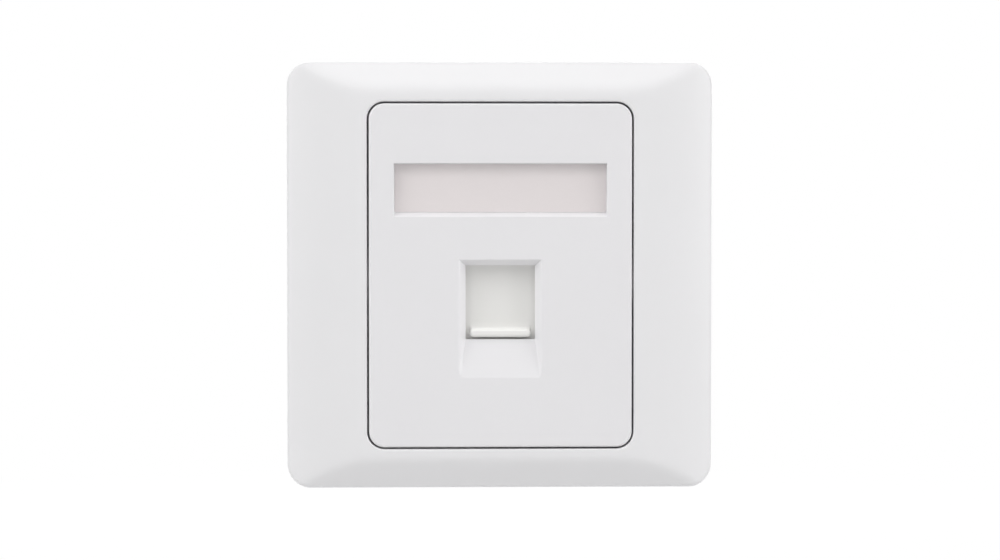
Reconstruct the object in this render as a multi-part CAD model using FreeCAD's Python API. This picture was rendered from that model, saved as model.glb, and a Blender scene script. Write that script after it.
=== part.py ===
import FreeCAD, Part
import math
import os

from FreeCAD import Placement, Rotation, Vector

# Single-port wall faceplate for a snap-in data jack, with a sprung dust shutter.
# Every piece is modelled lying on its back: X to the right, Y up the wall, Z out of the wall,
# with the wall at Z = 0. stand_up() then turns it so that +Z is up and the front faces -Y.
# All sizes are in millimetres.

# Outer frame
PLATE = 86.0                  # side of the square frame
PLATE_CORNER = 4.8            # corner radius of the frame's outline
FRAME_FRONT = 9.0             # height of the flat border above and below the centre plate
FRAME_WALL = 1.8
CHEEK_START = 24.3            # half-width where the left and right cheeks start to curve back
CHEEK_RADIUS = 39.5
BEVEL_START = 37.2            # half-height where the top and bottom bevels start
BEVEL_SLOPE = 30.0            # degrees
RIDGE_ROUND = 5.0             # rounding of the ridge between cheeks and bevels
RIM_ROUND = 1.1               # rounding along the rim's outer edge
COLLAR_WALL = 1.4             # skirt round the opening
COLLAR_FOOT = 4.6             # height of the skirt's rear edge
PRY_NOTCH = (9.0, 1.4)        # width and height of the screwdriver notch in the bottom edge

# Centre plate and its mounting tray
PANEL_WIDTH = 52.8
PANEL_HEIGHT = 69.0
PANEL_CORNER = 3.1
PANEL_FRONT = 9.1             # height of the panel's face above the wall
PANEL_WALL = 2.6              # thickness of the panel's front wall
ISLAND_WALL = 1.8             # thickness of the raised island's side walls
PANEL_GAP = 0.4               # gap between the panel and the frame's opening
EDGE_BREAK = 0.3              # bevel on the two edges along that gap
TRAY = 77.0                   # side of the square tray
TRAY_CORNER = 3.0
TRAY_FLOOR = 2.2              # height of the flange's rear face above the wall
TRAY_TOP = 3.8                # height of the flange's front face
TRAY_RIM = 1.6                # thickness of the rim that stands on the wall

# Fixing screws
SCREW_SPACING = 60.3
SLOT_WIDTH = 4.4
SLOT_LENGTH = 6.0
BOSS_WALL = 1.6
SCREW_HEAD_ROOM = 11.0        # height of the gap in the frame's skirt beside each screw head

# Hooks that hold the frame on the tray
FRAME_HOOK_X = 34.3           # middle of the hook's leg
FRAME_HOOK_Y = 24.0
FRAME_HOOK_LEG = 1.4
FRAME_HOOK_WIDTH = 8.0
FRAME_HOOK_BITE = 0.75
FRAME_HOOK_TIP = 0.6          # height of the hook's tip above the wall
HOOK_PLAY = 0.25              # room round a hook in its window

# Label recess
LABEL_WIDTH = 42.7
LABEL_HEIGHT = 10.6
LABEL_MIDDLE = 17.15          # height of the recess's middle above the plate's middle
LABEL_DEPTH = 1.7
LABEL_SLOPE = 0.8             # how far the recess's lower wall leans, so that a nail can lift the window
LABEL_ROUND = 0.25            # rounding of the recess's front edge
CARD_THICKNESS = 0.2
WINDOW_THICKNESS = 0.9
WINDOW_PLAY = 0.08            # room round the window in its recess
WINDOW_BEVEL = (0.3, 0.3)     # width and depth of the bevel round the window's face
TAB_WIDTH = 3.0
TAB_REACH = 0.5
TAB_THICKNESS = 0.35

# Port mouth
PORT_WIDTH = 14.0             # clear opening behind the sloped walls
PORT_TOP = 2.0
PORT_BOTTOM = -12.85
MOUTH_WIDTH = 16.5            # outline of the sloped walls on the panel's face
MOUTH_TOP = 3.2
MOUTH_BOTTOM = -20.6
MOUTH_DEPTH = 2.0             # depth of the sloped walls
MOUTH_ROUND = 0.9             # rounding of the outline's sides and foot
MOUTH_TOP_ROUND = 0.3         # rounding of its top edge
RAMP_CORNER = (0.1, 1.0)      # corner radius beside the ramp, at its top and at its foot
PORT_LAND = 1.3               # straight stretch behind the sloped walls

# Shutter, its guides and its spring
SHUTTER_WIDTH = 16.8
SHUTTER_THICKNESS = 1.2
SHUTTER_TOP = 3.9
SHUTTER_BOTTOM = -13.6
SHUTTER_PLAY = 0.15           # room in front of and behind the shutter
SHUTTER_CORNER = 1.2
GUIDE_STEP = 1.1              # width of the ledge that the shutter's front slides on
GUIDE_WALL = 1.5              # thickness of the rail beside the shutter
GUIDE_PLAY = 0.2
STOP_HEIGHT = 1.3             # bar under the closed shutter
STOP_PLAY = 0.05
LIP_WIDTH = 12.2
LIP_HEIGHT = 1.7
LIP_REACH = 2.1
LIP_BOTTOM = -12.5
LIP_CORNER = 0.8              # rounding of the lip's ends
LIP_BREAK = 0.4               # bevel round the lip's front
SPRING_OUTSIDE = 2.4
SPRING_WIRE = 0.3
SPRING_TURNS = 9
SPRING_TOP = 30.0
SPRING_PLAY = 0.05            # room between the spring's ends and what they press on
WIRE_SIDES = 6                # the wire's round section drawn as a hexagon of equal area
PEG_RADIUS = 0.55
PEG_LENGTH = 2.4

# Jack cradle
JACK_WIDTH = 14.8             # opening for a snap-in jack, with room to slide
JACK_BOTTOM = -13.5
JACK_TOP = 2.9
JACK_DEPTH = 10.0
JACK_WALL = 1.6
FIXED_LEDGE = 6.5             # depth of wall in front of the jack's fixed hook, at the bottom
LATCH_LEDGE = 4.0             # depth of wall in front of the jack's sprung latch, at the top
CATCH_LEDGE = 2.0             # thickness of the catches at the rear
FIXED_POCKET = 2.0            # height of the pocket for the fixed hook
LATCH_POCKET = 4.0            # height of the pocket for the sprung latch
CRADLE_PLATE = 1.4
CRADLE_TOP = 31.2
CHANNEL_WIDTH = 5.8           # block that carries the spring's groove
CHANNEL_DEPTH = 2.7
GROOVE_PLAY = 0.4
CRADLE_HOOKS_Y = (-8.0, 24.0)
CRADLE_HOOK_WIDTH = 5.0
CRADLE_HOOK_LEG = 1.2
CRADLE_HOOK_BITE = 0.65
CRADLE_HOOK_TIP = 1.7

# Stiffening ribs behind the panel
RIB_WALL = 1.0
RIB_HEIGHT = 1.9
RIB_X = 17.5
RIB_Y = -24.0

# Heights that follow from the sizes above
PANEL_BACK = PANEL_FRONT - PANEL_WALL
PORT_BACK = PANEL_FRONT - MOUTH_DEPTH - PORT_LAND
SHUTTER_FRONT = PORT_BACK - SHUTTER_PLAY
SHUTTER_BACK = SHUTTER_FRONT - SHUTTER_THICKNESS
CRADLE_FRONT = SHUTTER_BACK - SHUTTER_PLAY
CRADLE_BACK = CRADLE_FRONT - CRADLE_PLATE
SPRING_AXIS = (SHUTTER_FRONT + SHUTTER_BACK) / 2
GUIDE_INSIDE = SHUTTER_WIDTH / 2 + GUIDE_PLAY
GUIDE_OUTSIDE = GUIDE_INSIDE + GUIDE_WALL
LABEL_FLOOR = PANEL_FRONT - LABEL_DEPTH
LABEL_TOP = LABEL_MIDDLE + LABEL_HEIGHT / 2
LABEL_FOOT = LABEL_MIDDLE - LABEL_HEIGHT / 2
LABEL_SHELF = LABEL_FOOT + LABEL_SLOPE
TAB_MIDDLE = (LABEL_TOP + LABEL_SHELF) / 2
WINDOW_BACK = LABEL_FLOOR + CARD_THICKNESS
OPENING_WIDTH = PANEL_WIDTH + 2 * PANEL_GAP
OPENING_HEIGHT = PANEL_HEIGHT + 2 * PANEL_GAP
OPENING_CORNER = PANEL_CORNER + PANEL_GAP

BITE = 0.3                    # how far joined features sink into each other
PAST = 1.0                    # how far a cutter runs past the face it cuts
OVERRUN = 3.0                 # how far the cheeks run past the outline before they are trimmed to it
TOUCH = 1e-3                  # how near two places are to count as one


def block(x0, x1, y0, y1, z0, z1):
    """Box between two corners."""
    return Part.makeBox(x1 - x0, y1 - y0, z1 - z0, Vector(x0, y0, z0))


def stand_up(shape):
    """Turns a piece that lies on its back so that it stands as it does on the wall."""
    return shape.transformed(Placement(Vector(), Rotation(Vector(1, 0, 0), 90)).toMatrix())


def rounded_rectangle(width, height, radius, middle=(0.0, 0.0)):
    """Wire of a rectangle with round corners, starting at the right end of its lower side."""
    reach_x = width / 2 - radius
    reach_y = height / 2 - radius
    edges = []
    previous = None
    for start in (270, 0, 90, 180):
        corner_x = middle[0] + (reach_x if start in (270, 0) else -reach_x)
        corner_y = middle[1] + (reach_y if start in (0, 90) else -reach_y)
        centre = Vector(corner_x, corner_y, 0)
        ends = [turned_point(centre, radius, start + turn) for turn in (0, 45, 90)]
        if previous is not None:
            edges.append(Part.LineSegment(previous, ends[0]).toShape())
        edges.append(Part.Arc(*ends).toShape())
        previous = ends[2]
    edges.append(Part.LineSegment(previous, edges[0].Vertexes[0].Point).toShape())
    return Part.Wire(edges)


def turned_point(centre, radius, degrees):
    """Point on a circle round centre, in a plane of constant height."""
    angle = math.radians(degrees)
    return centre + Vector(radius * math.cos(angle), radius * math.sin(angle), 0)


def slab(wire, z0, z1):
    """Prism on an outline drawn at height 0."""
    face = Part.Face(wire)
    face.translate(Vector(0, 0, z0))
    return face.extrude(Vector(0, 0, z1 - z0))


def polygon_prism(points, axis, start, length):
    """Prism on a polygon. Its points are (x, z) for a prism along Y, and (y, z) for one along X."""
    if axis == "y":
        corners = [Vector(a, start, b) for a, b in points]
        along = Vector(0, length, 0)
    else:
        corners = [Vector(start, a, b) for a, b in points]
        along = Vector(length, 0, 0)
    return Part.Face(Part.makePolygon(corners + corners[:1])).extrude(along)


def slot_prism(x, length, width, z0, z1):
    """Prism on a slot that runs along X, with round ends."""
    radius = width / 2
    reach = length / 2 - radius
    right, left = Vector(x + reach, 0, 0), Vector(x - reach, 0, 0)
    right_end = [turned_point(right, radius, turn) for turn in (-90, 0, 90)]
    left_end = [turned_point(left, radius, turn) for turn in (90, 180, 270)]
    curves = [
        Part.Arc(*right_end),
        Part.LineSegment(right_end[2], left_end[0]),
        Part.Arc(*left_end),
        Part.LineSegment(left_end[2], right_end[0]),
    ]
    return slab(Part.Wire([curve.toShape() for curve in curves]), z0, z1)


def tapered_block(foot, head, z0, z1):
    """Block with plane sides between the rectangle foot (x0, x1, y0, y1) at z0 and head at z1."""
    wedge = Part.makeWedge(
        foot[0], z0, -foot[3], -head[3], head[0], foot[1], z1, -foot[2], -head[2], head[1]
    )
    return stand_up(wedge)


def fuse(first, others):
    """One solid out of pieces that sink into each other, with coplanar faces merged."""
    return first.multiFuse(others).removeSplitter()


def edges_at(shape, height, reach=PLATE, low=-PLATE, high=PLATE):
    """Edges that lie at one height, within reach of the upright middle line and between low and high."""
    return [
        edge
        for edge in shape.Edges
        if max(abs(edge.BoundBox.ZMin - height), abs(edge.BoundBox.ZMax - height)) < TOUCH
        and max(abs(edge.BoundBox.XMin), abs(edge.BoundBox.XMax)) < reach
        and low < edge.BoundBox.YMin
        and edge.BoundBox.YMax < high
    ]


def edges_along(shape, width, height, corner, lowest):
    """Edges that follow the wall of a rounded rectangle, above the height lowest."""
    found = []
    for edge in shape.Edges:
        middle = edge.valueAt((edge.FirstParameter + edge.LastParameter) / 2)
        past_x = max(abs(middle.x) - width / 2 + corner, 0)
        past_y = max(abs(middle.y) - height / 2 + corner, 0)
        upright = max(edge.BoundBox.XLength, edge.BoundBox.YLength) < TOUCH
        if abs(math.hypot(past_x, past_y) - corner) < TOUCH and middle.z > lowest and not upright:
            found.append(edge)
    return found


def cheek_prism(inset):
    """Block with a flat front and a convex cheek on the left and right, running past the frame's outline."""
    top = FRAME_FRONT - inset
    radius = CHEEK_RADIUS - inset
    sweep = math.asin((PLATE / 2 + OVERRUN - CHEEK_START) / CHEEK_RADIUS)
    right = [
        Vector(CHEEK_START + radius * math.sin(angle), -PLATE, top - radius * (1 - math.cos(angle)))
        for angle in (0, sweep / 2, sweep)
    ]
    left = [Vector(-point.x, point.y, point.z) for point in reversed(right)]
    floor = [Vector(point.x, -PLATE, -PLATE) for point in (right[2], left[0])]
    walls = [Part.LineSegment(a, b) for a, b in zip([right[2]] + floor, floor + [left[0]])]
    front = Part.LineSegment(left[2], right[0])
    curves = [Part.Arc(*right)] + walls + [Part.Arc(*left), front]
    profile = Part.Wire([curve.toShape() for curve in curves])
    return Part.Face(profile).extrude(Vector(0, 2 * PLATE, 0))


def bevel_prism(inset):
    """Block with a flat front and a plane bevel at the top and bottom, running past the frame's outline."""
    slope = math.radians(BEVEL_SLOPE)
    top = FRAME_FRONT - inset
    start = BEVEL_START - inset * math.tan(slope / 2)
    end = start + PLATE / 4
    low = top - (end - start) * math.tan(slope)
    profile = [(-end, -PLATE), (-end, low), (-start, top), (start, top), (end, low), (end, -PLATE)]
    return polygon_prism(profile, "x", -PLATE, 2 * PLATE)


def frame_outline(inset, foot):
    """Prism on the frame's square outline."""
    side = PLATE - 2 * inset
    return slab(rounded_rectangle(side, side, PLATE_CORNER - inset), foot, FRAME_FRONT + PAST)


def is_ridge(edge):
    """True for an edge where a bevel meets the flat front or a cheek."""
    box = edge.BoundBox
    on_one_side = box.YMin * box.YMax > 0
    return on_one_side and box.XLength > BITE and abs(box.ZMax - FRAME_FRONT) < TOUCH


def crowned_block():
    """Solid front of the frame: curved cheeks, plane bevels, and soft ridges where they meet."""
    crown = cheek_prism(0).common(bevel_prism(0))
    crown = crown.makeFillet(RIDGE_ROUND, [edge for edge in crown.Edges if is_ridge(edge)])
    crown = crown.common(frame_outline(0, 0))
    return crown.makeFillet(RIM_ROUND, edges_along(crown, PLATE, PLATE, PLATE_CORNER, PAST))


def cheek_height(x):
    """Height of the frame's front above the wall at the distance x from the middle."""
    past = x - CHEEK_START
    return FRAME_FRONT - CHEEK_RADIUS + math.sqrt(CHEEK_RADIUS**2 - past**2)


def frame_hook(side_x, side_y):
    """Leg under the frame's cheek whose barb catches behind the tray's flange."""
    inner = FRAME_HOOK_X - FRAME_HOOK_LEG / 2
    outer = FRAME_HOOK_X + FRAME_HOOK_LEG / 2
    roof = cheek_height(outer) - FRAME_WALL / 2
    profile = [
        (inner, roof),
        (inner, FRAME_HOOK_TIP),
        (outer - FRAME_HOOK_LEG / 3, FRAME_HOOK_TIP),
        (outer + FRAME_HOOK_BITE, TRAY_FLOOR - FRAME_HOOK_BITE / 2),
        (outer + FRAME_HOOK_BITE, TRAY_FLOOR),
        (outer, TRAY_FLOOR),
        (outer, roof),
    ]
    start = side_y * FRAME_HOOK_Y - FRAME_HOOK_WIDTH / 2
    return polygon_prism([(side_x * x, z) for x, z in profile], "y", start, FRAME_HOOK_WIDTH)


def make_outer_frame():
    """Crowned square frame, hollow behind, with a skirt round its opening and four hooks."""
    hollow = cheek_prism(FRAME_WALL).common(bevel_prism(FRAME_WALL)).common(frame_outline(FRAME_WALL, -PAST))
    shell = crowned_block().cut(hollow)

    opening = rounded_rectangle(OPENING_WIDTH, OPENING_HEIGHT, OPENING_CORNER)
    skirt_outline = rounded_rectangle(
        OPENING_WIDTH + 2 * COLLAR_WALL,
        OPENING_HEIGHT + 2 * COLLAR_WALL,
        OPENING_CORNER + COLLAR_WALL,
    )
    skirt = slab(skirt_outline, COLLAR_FOOT, FRAME_FRONT - FRAME_WALL + BITE)
    screw_gap = block(
        -PLATE / 2, PLATE / 2, -SCREW_HEAD_ROOM / 2, SCREW_HEAD_ROOM / 2, 0, FRAME_FRONT - FRAME_WALL
    )
    hooks = [frame_hook(side_x, side_y) for side_x in (-1, 1) for side_y in (-1, 1)]
    frame = fuse(shell, [skirt.cut(screw_gap)] + hooks)
    frame = frame.cut(slab(opening, -PAST, FRAME_FRONT + PAST))
    notch_width, notch_height = PRY_NOTCH
    frame = frame.cut(
        block(-notch_width / 2, notch_width / 2, -PLATE / 2 - PAST, -PLATE / 2 + FRAME_WALL + PAST,
              -PAST, notch_height)
    )
    edges = edges_along(frame, OPENING_WIDTH, OPENING_HEIGHT, OPENING_CORNER, FRAME_FRONT - BITE)
    return frame.makeChamfer(EDGE_BREAK, edges)


def tray_with_island():
    """Square mounting tray with the hollow island that carries the panel's face."""
    flange = slab(rounded_rectangle(TRAY, TRAY, TRAY_CORNER), TRAY_FLOOR, TRAY_TOP)
    inside = TRAY - 2 * TRAY_RIM
    rim = slab(rounded_rectangle(TRAY, TRAY, TRAY_CORNER), 0, TRAY_TOP).cut(
        slab(rounded_rectangle(inside, inside, TRAY_CORNER - TRAY_RIM), -PAST, TRAY_TOP + PAST)
    )
    island = slab(rounded_rectangle(PANEL_WIDTH, PANEL_HEIGHT, PANEL_CORNER), TRAY_FLOOR, PANEL_FRONT)
    island = island.makeChamfer(EDGE_BREAK, edges_at(island, PANEL_FRONT))
    bosses = [
        slot_prism(side * SCREW_SPACING / 2, SLOT_LENGTH + 2 * BOSS_WALL, SLOT_WIDTH + 2 * BOSS_WALL,
                   0, TRAY_TOP)
        for side in (-1, 1)
    ]
    tray = fuse(flange, [rim, island] + bosses)
    hollow = rounded_rectangle(
        PANEL_WIDTH - 2 * ISLAND_WALL, PANEL_HEIGHT - 2 * ISLAND_WALL, PANEL_CORNER - ISLAND_WALL
    )
    return tray.cut(slab(hollow, -PAST, PANEL_BACK))


def shutter_guides():
    """Stepped rails beside the shutter, the pads above and below the port, and the shutter's stop."""
    profile = [
        (GUIDE_INSIDE - GUIDE_STEP, PANEL_BACK + BITE),
        (GUIDE_INSIDE - GUIDE_STEP, PORT_BACK),
        (GUIDE_INSIDE, PORT_BACK),
        (GUIDE_INSIDE, CRADLE_FRONT),
        (GUIDE_OUTSIDE, CRADLE_FRONT),
        (GUIDE_OUTSIDE, PANEL_BACK + BITE),
    ]
    stop_top = SHUTTER_BOTTOM - STOP_PLAY
    foot = stop_top - STOP_HEIGHT
    rails = [
        polygon_prism([(side * x, z) for x, z in profile], "y", foot, CRADLE_TOP - foot)
        for side in (-1, 1)
    ]
    reach = GUIDE_INSIDE + BITE
    pads = [
        block(-reach, reach, MOUTH_BOTTOM + PAST, PORT_BOTTOM + BITE, PORT_BACK, PANEL_BACK + BITE),
        block(-reach, reach, PORT_TOP - BITE, SHUTTER_TOP, PORT_BACK, PANEL_BACK + BITE),
    ]
    stop = block(-reach, reach, foot, stop_top, CRADLE_FRONT, PANEL_BACK)
    return rails + pads + [stop]


def cradle_hook(side, middle):
    """Hook behind the panel whose barb holds the cradle's plate against the rails."""
    inner = GUIDE_OUTSIDE + HOOK_PLAY
    outer = inner + CRADLE_HOOK_LEG
    profile = [
        (outer, PANEL_BACK + BITE),
        (outer, CRADLE_HOOK_TIP),
        (inner + CRADLE_HOOK_LEG / 3, CRADLE_HOOK_TIP),
        (inner - CRADLE_HOOK_BITE, CRADLE_BACK - CRADLE_HOOK_BITE / 2),
        (inner - CRADLE_HOOK_BITE, CRADLE_BACK),
        (inner, CRADLE_BACK),
        (inner, PANEL_BACK + BITE),
    ]
    points = [(side * x, z) for x, z in profile]
    return polygon_prism(points, "y", middle - CRADLE_HOOK_WIDTH / 2, CRADLE_HOOK_WIDTH)


def panel_ribs():
    """Two upright ribs and one level rib that stiffen the panel's front wall."""
    foot = PANEL_BACK - RIB_HEIGHT
    top = PANEL_BACK + BITE
    reach_x = PANEL_WIDTH / 2 - ISLAND_WALL + BITE
    reach_y = PANEL_HEIGHT / 2 - ISLAND_WALL + BITE
    ribs = [
        block(side * RIB_X - RIB_WALL / 2, side * RIB_X + RIB_WALL / 2, -reach_y, reach_y, foot, top)
        for side in (-1, 1)
    ]
    return ribs + [block(-reach_x, reach_x, RIB_Y - RIB_WALL / 2, RIB_Y + RIB_WALL / 2, foot, top)]


def port_mouth():
    """Cutter for the port: four sloped walls, the lowest a long ramp, then a short straight stretch."""
    port = (-PORT_WIDTH / 2, PORT_WIDTH / 2, PORT_BOTTOM, PORT_TOP)
    mouth = (-MOUTH_WIDTH / 2, MOUTH_WIDTH / 2, MOUTH_BOTTOM, MOUTH_TOP)
    funnel_back = PANEL_FRONT - MOUTH_DEPTH
    funnel = tapered_block(port, mouth, funnel_back, PANEL_FRONT)
    beside_ramp = [
        edge
        for edge in funnel.Edges
        if edge.BoundBox.ZLength > MOUTH_DEPTH / 2 and edge.BoundBox.YMax < 0
    ]
    funnel = funnel.makeFillet(*RAMP_CORNER, beside_ramp)
    return funnel.fuse(block(*port, PORT_BACK - PAST, funnel_back))


def label_recess():
    """Cutter for the label recess: a leaning lower wall, and a slot in each end wall for the window's tabs."""
    overrun = LABEL_SLOPE * PAST / LABEL_DEPTH
    profile = [
        (LABEL_SHELF, LABEL_FLOOR),
        (LABEL_TOP, LABEL_FLOOR),
        (LABEL_TOP, PANEL_FRONT + PAST),
        (LABEL_FOOT - overrun, PANEL_FRONT + PAST),
    ]
    recess = polygon_prism(profile, "x", -LABEL_WIDTH / 2, LABEL_WIDTH)
    reach = LABEL_WIDTH / 2 + TAB_REACH
    half_slot = TAB_WIDTH / 2 + WINDOW_PLAY
    slots = block(
        -reach, reach, TAB_MIDDLE - half_slot, TAB_MIDDLE + half_slot,
        WINDOW_BACK, WINDOW_BACK + TAB_THICKNESS + WINDOW_PLAY,
    )
    return recess.fuse(slots)


def round_front_edges(plate):
    """Softens the front edges of the port's mouth and of the label recess."""
    outline = edges_at(plate, PANEL_FRONT, MOUTH_WIDTH / 2 + BITE, MOUTH_BOTTOM - BITE, MOUTH_TOP + BITE)
    sides_and_foot = [edge for edge in outline if edge.BoundBox.YMin < PORT_BOTTOM]
    plate = plate.makeFillet(MOUTH_ROUND, sides_and_foot)
    top = edges_at(plate, PANEL_FRONT, MOUTH_WIDTH / 2 + MOUTH_ROUND, MOUTH_TOP - BITE, MOUTH_TOP + BITE)
    plate = plate.makeFillet(MOUTH_TOP_ROUND, top)
    label = edges_at(plate, PANEL_FRONT, LABEL_WIDTH / 2 + BITE, LABEL_FOOT - BITE, LABEL_TOP + BITE)
    return plate.makeFillet(LABEL_ROUND, label)


def hook_window(side_x, side_y):
    """Cutter for the hole in the tray that one hook of the frame passes through."""
    half_leg = FRAME_HOOK_LEG / 2 + HOOK_PLAY
    half_width = FRAME_HOOK_WIDTH / 2 + HOOK_PLAY
    x = side_x * FRAME_HOOK_X
    y = side_y * FRAME_HOOK_Y
    return block(
        x - half_leg, x + half_leg, y - half_width, y + half_width, TRAY_FLOOR - PAST, TRAY_TOP + PAST
    )


def make_centre_plate():
    """Panel with the port and the label recess, on the tray that is screwed to the wall box."""
    hooks = [cradle_hook(side, middle) for side in (-1, 1) for middle in CRADLE_HOOKS_Y]
    plate = fuse(tray_with_island(), shutter_guides() + hooks + panel_ribs())
    plate = round_front_edges(plate.cut(port_mouth()).cut(label_recess()))
    windows = [hook_window(side_x, side_y) for side_x in (-1, 1) for side_y in (-1, 1)]
    screw_slots = [
        slot_prism(side * SCREW_SPACING / 2, SLOT_LENGTH, SLOT_WIDTH, -PAST, TRAY_TOP + PAST)
        for side in (-1, 1)
    ]
    return plate.cut(windows + screw_slots).removeSplitter()


def make_label_card():
    """Blank paper strip on the floor of the label recess."""
    half_x = LABEL_WIDTH / 2 - 2 * WINDOW_PLAY
    foot = LABEL_SHELF + 2 * WINDOW_PLAY
    return block(-half_x, half_x, foot, LABEL_TOP - 2 * WINDOW_PLAY, LABEL_FLOOR, WINDOW_BACK)


def make_label_window():
    """Clear cover over the card, with a bevelled edge and a tab at each end."""
    half_x = LABEL_WIDTH / 2 - WINDOW_PLAY
    foot = LABEL_SHELF + WINDOW_PLAY
    head = LABEL_TOP - WINDOW_PLAY
    bevel, fall = WINDOW_BEVEL
    front = WINDOW_BACK + WINDOW_THICKNESS
    outline, face = [
        (inset - half_x, half_x - inset, foot + inset, head - inset) for inset in (0, bevel)
    ]
    rear = block(*outline, WINDOW_BACK, front - fall)
    bevelled = tapered_block(outline, face, front - fall, front)
    reach = half_x + TAB_REACH
    tabs = block(
        -reach, reach, TAB_MIDDLE - TAB_WIDTH / 2, TAB_MIDDLE + TAB_WIDTH / 2,
        WINDOW_BACK, WINDOW_BACK + TAB_THICKNESS,
    )
    return fuse(rear, [bevelled, tabs])


def make_shutter():
    """Sliding plate with a finger lip along its foot and a peg for the spring on its head."""
    height = SHUTTER_TOP - SHUTTER_BOTTOM
    middle = (0.0, SHUTTER_BOTTOM + height / 2)
    outline = rounded_rectangle(SHUTTER_WIDTH, height, SHUTTER_CORNER, middle=middle)
    plate = slab(outline, SHUTTER_BACK, SHUTTER_FRONT)
    lip_outline = rounded_rectangle(
        LIP_WIDTH, LIP_HEIGHT, LIP_CORNER, middle=(0.0, LIP_BOTTOM + LIP_HEIGHT / 2)
    )
    lip_front = SHUTTER_FRONT + LIP_REACH
    lip = slab(lip_outline, SHUTTER_FRONT - BITE, lip_front)
    lip = lip.makeChamfer(LIP_BREAK, edges_at(lip, lip_front))
    peg = Part.makeCylinder(
        PEG_RADIUS, PEG_LENGTH + BITE, Vector(0, SHUTTER_TOP - BITE, SPRING_AXIS), Vector(0, 1, 0)
    )
    return fuse(plate, [lip, peg])


def make_shutter_spring():
    """Compression spring between the shutter's head and the top of its groove."""
    radius = (SPRING_OUTSIDE - SPRING_WIRE) / 2
    foot = SHUTTER_TOP + SPRING_PLAY + SPRING_WIRE / 2
    rise = SPRING_TOP - SPRING_PLAY - SPRING_WIRE / 2 - foot
    pitch = rise / SPRING_TURNS
    path = Part.makeHelix(pitch, rise, radius)
    sector = 2 * math.pi / WIRE_SIDES
    wire_radius = SPRING_WIRE / 2 * math.sqrt(sector / math.sin(sector))
    section = Part.makePolygon(
        [
            Vector(radius + wire_radius * math.cos(k * sector), 0, wire_radius * math.sin(k * sector))
            for k in range(WIRE_SIDES + 1)
        ]
    )
    coil = Part.Wire(path).makePipeShell([section], True, True)
    coil.Placement = Placement(Vector(0, foot, SPRING_AXIS), Rotation(Vector(1, 0, 0), -90))
    return coil


def jack_opening():
    """Cutter for a snap-in jack: its side profile, with pockets for its fixed hook and its latch."""
    front = CRADLE_FRONT + PAST
    rear = CRADLE_FRONT - JACK_DEPTH - PAST
    catch = CRADLE_FRONT - JACK_DEPTH + CATCH_LEDGE
    profile = [
        (JACK_BOTTOM, front),
        (JACK_BOTTOM, CRADLE_FRONT - FIXED_LEDGE),
        (JACK_BOTTOM - FIXED_POCKET, CRADLE_FRONT - FIXED_LEDGE),
        (JACK_BOTTOM - FIXED_POCKET, catch),
        (JACK_BOTTOM, catch),
        (JACK_BOTTOM, rear),
        (JACK_TOP + LATCH_POCKET / 2, rear),
        (JACK_TOP + LATCH_POCKET / 2, catch),
        (JACK_TOP + LATCH_POCKET, catch),
        (JACK_TOP + LATCH_POCKET, CRADLE_FRONT - LATCH_LEDGE),
        (JACK_TOP, CRADLE_FRONT - LATCH_LEDGE),
        (JACK_TOP, front),
    ]
    return polygon_prism(profile, "x", -JACK_WIDTH / 2, JACK_WIDTH)


def make_jack_cradle():
    """Rear plate that keeps the shutter and spring in place and holds the jack behind the port."""
    low = JACK_BOTTOM - FIXED_POCKET - JACK_WALL
    box_top = JACK_TOP + LATCH_POCKET + JACK_WALL
    half_box = JACK_WIDTH / 2 + JACK_WALL
    half_channel = CHANNEL_WIDTH / 2
    channel_back = CRADLE_FRONT - CHANNEL_DEPTH
    seat_front = PANEL_BACK - GUIDE_PLAY
    plate = block(-GUIDE_OUTSIDE, GUIDE_OUTSIDE, low, CRADLE_TOP, CRADLE_BACK, CRADLE_FRONT)
    box = block(-half_box, half_box, low, box_top, CRADLE_FRONT - JACK_DEPTH, CRADLE_FRONT)
    channel = block(-half_channel, half_channel, box_top - BITE, CRADLE_TOP, channel_back, CRADLE_FRONT)
    seat = block(-half_channel, half_channel, SPRING_TOP, CRADLE_TOP, channel_back, seat_front)
    groove = Part.makeCylinder(
        SPRING_OUTSIDE / 2 + GROOVE_PLAY, SPRING_TOP - JACK_TOP + PAST,
        Vector(0, JACK_TOP - PAST, SPRING_AXIS), Vector(0, 1, 0),
    )
    peg = Part.makeCylinder(
        PEG_RADIUS, PEG_LENGTH + BITE, Vector(0, SPRING_TOP + BITE, SPRING_AXIS), Vector(0, -1, 0)
    )
    cradle = fuse(plate, [box, channel, seat]).cut(groove).cut(jack_opening())
    return fuse(cradle, [peg])


PIECES = {
    "outer_frame": make_outer_frame,
    "centre_plate": make_centre_plate,
    "label_card": make_label_card,
    "label_window": make_label_window,
    "shutter": make_shutter,
    "shutter_spring": make_shutter_spring,
    "jack_cradle": make_jack_cradle,
}


def main():
    os.makedirs("parts", exist_ok=True)
    for name, make in PIECES.items():
        piece = stand_up(make())
        piece.exportStep(f"parts/{name}.step")
        print(name, len(piece.Solids), "solid", round(piece.Volume, 1), "mm3", piece.isValid())


main()
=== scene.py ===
import itertools
import math

import bmesh
import bpy
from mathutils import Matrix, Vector


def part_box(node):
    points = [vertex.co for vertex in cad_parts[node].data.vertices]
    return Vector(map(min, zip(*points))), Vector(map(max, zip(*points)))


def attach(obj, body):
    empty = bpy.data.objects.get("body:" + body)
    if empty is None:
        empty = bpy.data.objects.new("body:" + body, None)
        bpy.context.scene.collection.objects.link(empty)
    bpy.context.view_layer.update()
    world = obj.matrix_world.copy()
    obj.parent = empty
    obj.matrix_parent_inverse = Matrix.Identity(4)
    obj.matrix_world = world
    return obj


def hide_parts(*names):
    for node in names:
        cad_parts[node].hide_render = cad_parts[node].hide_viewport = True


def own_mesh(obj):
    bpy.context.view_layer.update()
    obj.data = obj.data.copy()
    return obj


# Wall faceplate with one shuttered port, dressed for a studio picture.
# It stands as on a wall: +X right, +Z up, and the front faces -Y. Sizes are in metres.

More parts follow.
